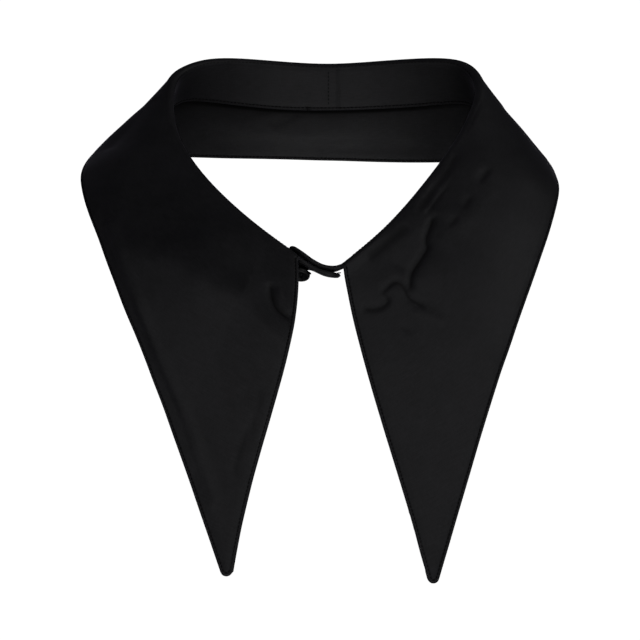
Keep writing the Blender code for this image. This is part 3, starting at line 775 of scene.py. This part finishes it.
# The last row's own normals turn over where its cells run out near the tip, so they are read further in.
sound_rows = np.clip(np.arange(len(fall_face)), RIM_NORMAL_ROW, len(fall_face) - 1 - RIM_NORMAL_ROW)
rim_normals = fall_face[sound_rows]
fall_rim_face = np.concatenate([rim_normals[0], rim_normals[1:-1, -1], rim_normals[-1, ::-1]])
run_left = fall_gone[:, -1:] - fall_gone
fall_near = (run_left < 8 * MM) | (np.abs(fall_at)[:, None] > LAST - 0.4)
fall_distance = edge_distance(fall_middle, fall_rim, fall_near)
fall_wall = wall(fall_distance, fall_gone)

neck_gone = np.concatenate([[0], np.cumsum(np.linalg.norm(np.diff(sections_at(fall_at)[0], axis=0), axis=1))])
fall_uv = np.stack(np.broadcast_arrays(neck_gone[:, None], fall_gone), axis=-1)

cloth = sateen("black_sateen")
# The lining's copy is 15% lighter than the other two: painted light on the inside of the fall. The lining's and the
# stand's copies paint shade from ambient occlusion over 45 mm.
cloth_under = sateen("black_sateen_lining", 1.15, 45 * MM, 2.5)
cloth_stand = sateen("black_sateen_stand", 1.0, 45 * MM, 2.5)

upper = fall_middle + fall_face * fall_wall[..., None]
under = fall_middle - fall_face * fall_wall[..., None]
upper_collar = piece(
    "upper_collar_cloth", grid_mesh("upper_collar_cloth", upper, uv=fall_uv, crease=fall_painted_crease_shade), cloth,
    "upper_collar_cloth", "upper_collar",
)
# Painted shadow of the stand on the under collar: just below the stand's bottom edge, near the back, the base colour
# is painted near black through the crease attribute
band_top, fall_up, _, _ = seam_frame(fall_at)
band_bottom = band_top[:, 2] - sections_at(fall_at)[2] * fall_up[:, 2]
below_band = band_bottom[:, None] - under[..., 2]
by_back = 1 - smooth_step((np.abs(fall_at) - 1.5) / 1.5)
band_painted_shadow = (1 - smooth_step((below_band - 1.1 * MM) / (1.3 * MM))) * by_back[:, None]
under_collar = piece(
    "under_collar_cloth", grid_mesh("under_collar_cloth", under, flip=True, uv=fall_uv, crease=band_painted_shadow),
    cloth_under, "under_collar_cloth", "under_collar",
)

# Cloth of the stand
stand_at = stand_columns()
stand_middle, stand_drop = stand_surface(stand_at)
left_corner = np.abs(stand_at + LAST).argmin()
right_corner = np.abs(stand_at - LAST).argmin()
stand_middle_face = normals(stand_middle)
belly = np.zeros(stand_middle.shape[:2])
for side in (-1, 1):
    past = smooth_step((stand_at * side - LAST) / 0.6)
    along_tab = (stand_drop / stand_drop[:, -1:]).clip(0, 1)
    belly += past[:, None] * (side * TAB_BELLY) * (4 * along_tab * (1 - along_tab))
belly += wavy(stand_middle, 11, 26 * MM, 0.16 * MM) * smooth_step(stand_drop / (6 * MM))
stand_middle = stand_middle + stand_middle_face * belly[..., None]
stand_face = normals(stand_middle)
stand_rim = np.concatenate(
    [
        stand_middle[left_corner:0:-1, 0],
        stand_middle[0],
        stand_middle[1:-1, -1],
        stand_middle[-1, ::-1],
        stand_middle[-2 : right_corner - 1 : -1, 0],
    ]
)
stand_distance = edge_distance(stand_middle, stand_rim, np.ones(stand_middle.shape[:2], bool))
in_ring = np.abs(stand_at) <= LAST
seam_distance = np.where(in_ring[:, None], stand_drop, FAR)
stand_wall = wall(stand_distance, seam_distance)
stand_gone = np.concatenate(
    [[0], np.cumsum(np.linalg.norm(np.diff(stand_middle[:, 0], axis=0), axis=1))]
)
stand_uv = np.stack(np.broadcast_arrays(stand_gone[:, None], stand_drop), axis=-1)
seam_gone = np.interp(BACK_SEAM_STATION, stand_at, stand_gone)
by_back_seam = np.abs(stand_gone - seam_gone)
back_seam_dip = BACK_SEAM_DIP * np.exp(-((by_back_seam / BACK_SEAM_WIDTH) ** 2))
inner_wall = stand_wall - back_seam_dip[:, None] * smooth_step(stand_wall / (0.8 * MM))

outer = stand_middle + stand_face * stand_wall[..., None]
inner = stand_middle - stand_face * inner_wall[..., None]
seam_column = np.abs(stand_at - BACK_SEAM_STATION).argmin()
stand_outer = piece(
    "stand_outer_cloth", grid_mesh("stand_outer_cloth", outer, uv=stand_uv), cloth_stand, "stand_outer_cloth",
    "stand_outer",
)
left_half = slice(0, seam_column + 1)
right_half = slice(seam_column, None)
stand_inner_left = piece(
    "stand_inner_left_cloth",
    grid_mesh("stand_inner_left_cloth", inner[left_half], flip=True, uv=stand_uv[left_half]),
    cloth_stand, "stand_inner_left_cloth", "stand_inner_left",
)
stand_inner_right = piece(
    "stand_inner_right_cloth",
    grid_mesh("stand_inner_right_cloth", inner[right_half], flip=True, uv=stand_uv[right_half]),
    cloth_stand, "stand_inner_right_cloth", "stand_inner_right",
)


def inset_line(rim, rim_face, flip):
    """The line at STITCH_INSET from a free edge, on the face of the cloth on one side, given the edge's own line and
    normals: the edge moved towards the cloth and out by the wall there."""
    way = unit(np.gradient(rim, axis=0))
    inward = unit(np.cross(way, rim_face))
    sign = -1 if flip else 1
    height = wall(np.full(1, STITCH_INSET), np.full(1, FAR))[0]
    return rim + inward * STITCH_INSET + rim_face * sign * height, rim_face * sign


thread = thread_finish("black_thread")
fall_lines = [inset_line(fall_rim, fall_rim_face, flip) for flip in (False, True)]
for label, (line, faces), slot_name in (
    ("upper", fall_lines[0], "upper_collar_cloth"), ("under", fall_lines[1], "under_collar_cloth"),
):
    keep = slice(6, -6)
    grids = [stitch_grids(line[keep], faces[keep])]
    if label == "upper":
        row = np.abs(ROLL_SHARES - FOLD_STITCH_SHARE).argmin()
        ring = slice(20, -20)
        thin = {"radius": FOLD_STITCH_RADIUS, "lift": FOLD_STITCH_LIFT}
        grids.append(stitch_grids(upper[ring, row], fall_face[ring, row], **thin))
    grids = np.concatenate(grids)
    piece("topstitching_" + label, join_grids("topstitching_" + label, grids), thread, slot_name)

stand_rim_face = np.concatenate(
    [
        stand_face[left_corner:0:-1, 0],
        stand_face[0],
        stand_face[1:-1, -1],
        stand_face[-1, ::-1],
        stand_face[-2 : right_corner - 1 : -1, 0],
    ]
)
for label, flip, slot_name in (("outer", False, "stand_outer_cloth"), ("inner", True, "stand_inner_left_cloth")):
    line, faces = inset_line(stand_rim, stand_rim_face, flip)
    grids = [stitch_grids(line, faces)]
    if flip:
        beside = np.abs(stand_gone - (seam_gone - BACK_STITCH_OFFSET)).argmin()
        rows = slice(3, -12)
        grids.append(stitch_grids(inner[beside, rows], -stand_face[beside, rows], radius=BACK_STITCH_RADIUS))
    made = join_grids("topstitching_stand_" + label, np.concatenate(grids))
    piece("topstitching_stand_" + label, made, thread, slot_name)

# Button
BUTTON_RADIUS = 4.6 * MM
BUTTON_THICKNESS = 2.2 * MM
BUTTON_CENTRE = Vector((-10.0, -51.0, -45.5)) * MM
BUTTON_TILT = 50.0
BUTTON_SLOPE = 11.0
HOLE_SPACING = 1.15 * MM
HOLE_RADIUS = 0.7 * MM
BUTTON_PROFILE = [
    (0.0, 0.35), (1.0, 0.36), (2.0, 0.4), (2.6, 0.46), (2.9, 0.62), (3.15, 0.88), (3.45, 1.04), (3.8, 1.1),
    (4.1, 1.05), (4.35, 0.86), (4.52, 0.55), (4.6, 0.2), (4.57, -0.25), (4.4, -0.62), (4.0, -0.95), (3.2, -1.08),
    (2.0, -1.1), (0.0, -1.1),
]
turn_button = Matrix.Rotation(radians(BUTTON_SLOPE), 4, "Y") @ Matrix.Rotation(radians(90 + BUTTON_TILT), 4, "X")
button_place = np.array(Matrix.Translation(BUTTON_CENTRE) @ turn_button)


def placed(points):
    """Points of the button's own frame, face along z, in the collar's frame."""
    return points @ button_place[:3, :3].T + button_place[:3, 3]


def button_grid(around=128, along=96):
    """The button as a surface of revolution of a smooth profile, its face pressed in at four holes."""
    profile = np.array(BUTTON_PROFILE) * MM
    knots = np.concatenate([[0], np.cumsum(np.linalg.norm(np.diff(profile, axis=0), axis=1))])
    curve = smooth_curve(profile, knots, np.linspace(0, knots[-1], along))
    curve[:, 0] = np.clip(curve[:, 0], 1e-6, BUTTON_RADIUS)
    turn = np.arange(around) * 2 * pi / around
    x = curve[:, 0, None] * np.cos(turn)
    y = curve[:, 0, None] * np.sin(turn)
    z = np.repeat(curve[:, 1, None], around, axis=1)
    face = z > 0
    to_hole = np.hypot(np.abs(x) - HOLE_SPACING, np.abs(y) - HOLE_SPACING)
    z = z - face * 1.3 * MM * smooth_step((HOLE_RADIUS - to_hole) / (0.16 * MM))
    return placed(np.stack([x, y, z], axis=-1))


button = piece(
    "button_turned", join_grids("button_turned", button_grid()[None, :, ::-1]), button_finish("black_resin"),
    "button_plastic", "button",
)
strands = []
for across in (-1, 1):
    for beside in (-0.26, 0.0, 0.26):
        x = (across * HOLE_SPACING / MM + beside) * MM
        line = placed(np.array([[x, -HOLE_SPACING, 0.45 * MM], [x, HOLE_SPACING, 0.45 * MM]]))
        face = np.repeat(button_place[:3, 2][None], 2, axis=0)
        way = unit(line[1] - line[0])
        middle = line.mean(axis=0)
        line = middle + way * np.linspace(-1, 1, 3)[:, None] * HOLE_SPACING * 2
        strands.append(stitch_grids(line, np.repeat(face[:1], 3, axis=0), 2.9 * MM, 0.16 * MM, 10 * MM, 0.32 * MM)[:1])
piece("button_thread", join_grids("button_thread", np.concatenate(strands)), thread, "button_plastic")

# Buttonhole and shank
HOLE_STATION = -10.2
HOLE_SHARE = 0.36
near = np.array([HOLE_STATION - 0.1, HOLE_STATION, HOLE_STATION + 0.1])
hole_top, hole_height, hole_lean = tab_curve(near, -1)
hole_up = stand_up(hole_top, hole_lean)[1]
hole_centre = hole_top[1] - HOLE_SHARE * hole_height[1] * hole_up
hole_along = unit(hole_top[2] - hole_top[0])
hole_out = unit(np.cross(hole_along, -hole_up))
hole_down = np.cross(hole_out, hole_along)


def slot_loop(half_length, half_width, count):
    """A closed loop round a slot: two straight sides and two half rounds."""
    turn = np.linspace(0, 2 * pi, count, endpoint=False)
    x = half_width * np.cos(turn) + np.clip(np.cos(turn) * 40, -1, 1) * (half_length - half_width)
    return np.stack([x, half_width * np.sin(turn)], axis=1)


loop = slot_loop(5.1 * MM, 0.7 * MM, 240)
spine = hole_centre + hole_out * (HALF_WALL + 0.08 * MM)
ring_way = unit(np.roll(loop, -1, axis=0) - np.roll(loop, 1, axis=0))
ring_side = np.stack([ring_way[:, 1], -ring_way[:, 0]], axis=1)
gone = np.concatenate([[0], np.cumsum(np.linalg.norm(np.diff(loop, axis=0), axis=1))])
purl = (0.3 + 0.06 * np.sin(gone * 2 * pi / (0.42 * MM))) * MM
turn = np.arange(10) * 2 * pi / 10
flat = loop[:, None] + ring_side[:, None] * (1.8 * purl[:, None, None] * np.cos(turn)[:, None])
lifted = purl[:, None] * np.sin(turn)
ring = spine + flat[..., :1] * hole_along + flat[..., 1:] * hole_down + lifted[..., None] * hole_out
closed_ring = np.concatenate([ring, ring[:1]])
piece("buttonhole_stitches", join_grids("buttonhole_stitches", closed_ring[None]), thread, "stand_outer_cloth")

shank_start = placed(np.array([[0.0, 0.0, -1.0 * MM]]))[0]
shank_end = hole_centre - hole_out * 2.6 * MM
step = np.linspace(0, 1, 90)
shank_path = shank_start + (shank_end - shank_start) * step[:, None]
shank_radius = (0.75 + 0.1 * np.abs(np.sin(step * 12 * pi))) * MM
shank_radius[[0, -1]] = 0.01 * MM
piece("button_shank", tube_mesh("button_shank", shank_path, shank_radius, 16), thread, "button_plastic")

# Loose thread end at the bottom of the inner stand
loose_column = np.abs(stand_gone - (seam_gone - 12.5 * MM)).argmin()
root = inner[loose_column, -8]
out = -stand_face[loose_column, -8]
step = np.linspace(0, 1, 40)[:, None]
curl = np.array([-1.2, 0.0, 0.6]) * MM * np.sin(step * pi) + np.array([0.8, 0.0, -3.0]) * MM * step**1.4
loose = root + out * 0.5 * MM * np.sin(step * 2.2) + curl
loose_radius = np.full(40, 0.11 * MM)
loose_radius[[0, -1]] = 0.01 * MM
piece("loose_thread", tube_mesh("loose_thread", loose, loose_radius, 8), thread, "stand_inner_left_cloth")


STAGE_RADIUS = 3.2
STAGE_FLOOR = -0.6


# Studio
def backdrop():
    """A pale floor that curves up into a round wall: a profile of floor, quarter round and wall turned about z.
    Only the camera sees it, so the black cloth is lit by the lamps alone."""
    turn = np.linspace(0, pi / 2, 24)
    bend = np.stack([STAGE_RADIUS - 0.8 + 0.8 * np.sin(turn), STAGE_FLOOR + 0.8 * (1 - np.cos(turn))], axis=1)
    profile = np.concatenate([[[0.001, STAGE_FLOOR]], bend, [[STAGE_RADIUS, 3.0]]])
    around = np.linspace(0, 2 * pi, 97)
    x = profile[:, 0] * np.cos(around)[:, None]
    y = profile[:, 0] * np.sin(around)[:, None]
    points = np.stack(np.broadcast_arrays(x, y, profile[:, 1]), axis=-1)
    mesh = grid_mesh("backdrop", points, flip=True)
    n = Nodes("pale_backdrop")
    n.shader.inputs["Base Color"].default_value = (0.9, 0.9, 0.9, 1)
    n.shader.inputs["Roughness"].default_value = 0.9
    n.shader.inputs["Specular IOR Level"].default_value = 0.0
    n.shader.inputs["Emission Color"].default_value = (1, 1, 1, 1)
    n.shader.inputs["Emission Strength"].default_value = 1.0
    mesh.materials.append(n.material)
    made = bpy.data.objects.new("backdrop", mesh)
    bpy.context.scene.collection.objects.link(made)
    made.visible_diffuse = False
    made.visible_glossy = False
    made.visible_shadow = False


def soft_light(name, place, target, size, power, gloss):
    """A square soft light that faces its target, with or without a gloss of its own on the cloth."""
    data = bpy.data.lights.new(name, "AREA")
    data.shape = "SQUARE"
    data.size = size
    data.energy = power
    made = bpy.data.objects.new(name, data)
    made.location = place
    made.visible_glossy = gloss
    made.rotation_mode = "QUATERNION"
    made.rotation_quaternion = (Vector(target) - Vector(place)).to_track_quat("-Z", "Y")
    bpy.context.scene.collection.objects.link(made)


backdrop()
def lamp(name, azimuth, elevation, distance, size, power):
    """A soft light that looks at the collar from an azimuth right of the front and an elevation, in degrees."""
    azimuth, elevation = radians(azimuth), radians(elevation)
    way = Vector((sin(azimuth) * cos(elevation), -cos(azimuth) * cos(elevation), sin(elevation)))
    soft_light(name, AIM + way * distance, AIM, size, power, abs(azimuth) < pi / 2)


AIM = Vector((0.0, 0.0, -0.06))
for name, azimuth, elevation, distance, size, power in [
    ("front high", 0, 30, 1.5, 0.6, 1.8),
    ("front", 0, -20, 1.5, 0.6, 2.2),
    ("front low", 0, -45, 1.5, 0.6, 5.2),
    ("left", -40, 5, 1.5, 0.6, 1.3),
    ("right", 40, 30, 1.5, 0.6, 1.9),
    ("side", 75, 40, 1.5, 0.6, 2.2),
    ("back left", -160, -5, 1.5, 0.6, 8.0),
    ("back right", 160, -5, 1.5, 0.6, 8.0),
]:
    lamp(name, azimuth, elevation, distance, size, power)

world = bpy.data.worlds.new("studio")
world.use_nodes = True
world.node_tree.nodes["Background"].inputs["Color"].default_value = (1, 1, 1, 1)
world.node_tree.nodes["Background"].inputs["Strength"].default_value = 0.004
bpy.context.scene.world = world
bpy.context.scene.view_settings.view_transform = "Standard"

camera_data = bpy.data.cameras.new("camera")
camera_data.lens = 187.5
camera_data.sensor_width = 36.0
camera_data.clip_start, camera_data.clip_end = 0.05, 20.0
camera = bpy.data.objects.new("camera", camera_data)
camera.location = (-0.0011, -1.4854, 0.1361)
camera.rotation_euler = (radians(82.0), 0.0, 0.0)
bpy.context.scene.collection.objects.link(camera)
bpy.context.scene.camera = camera
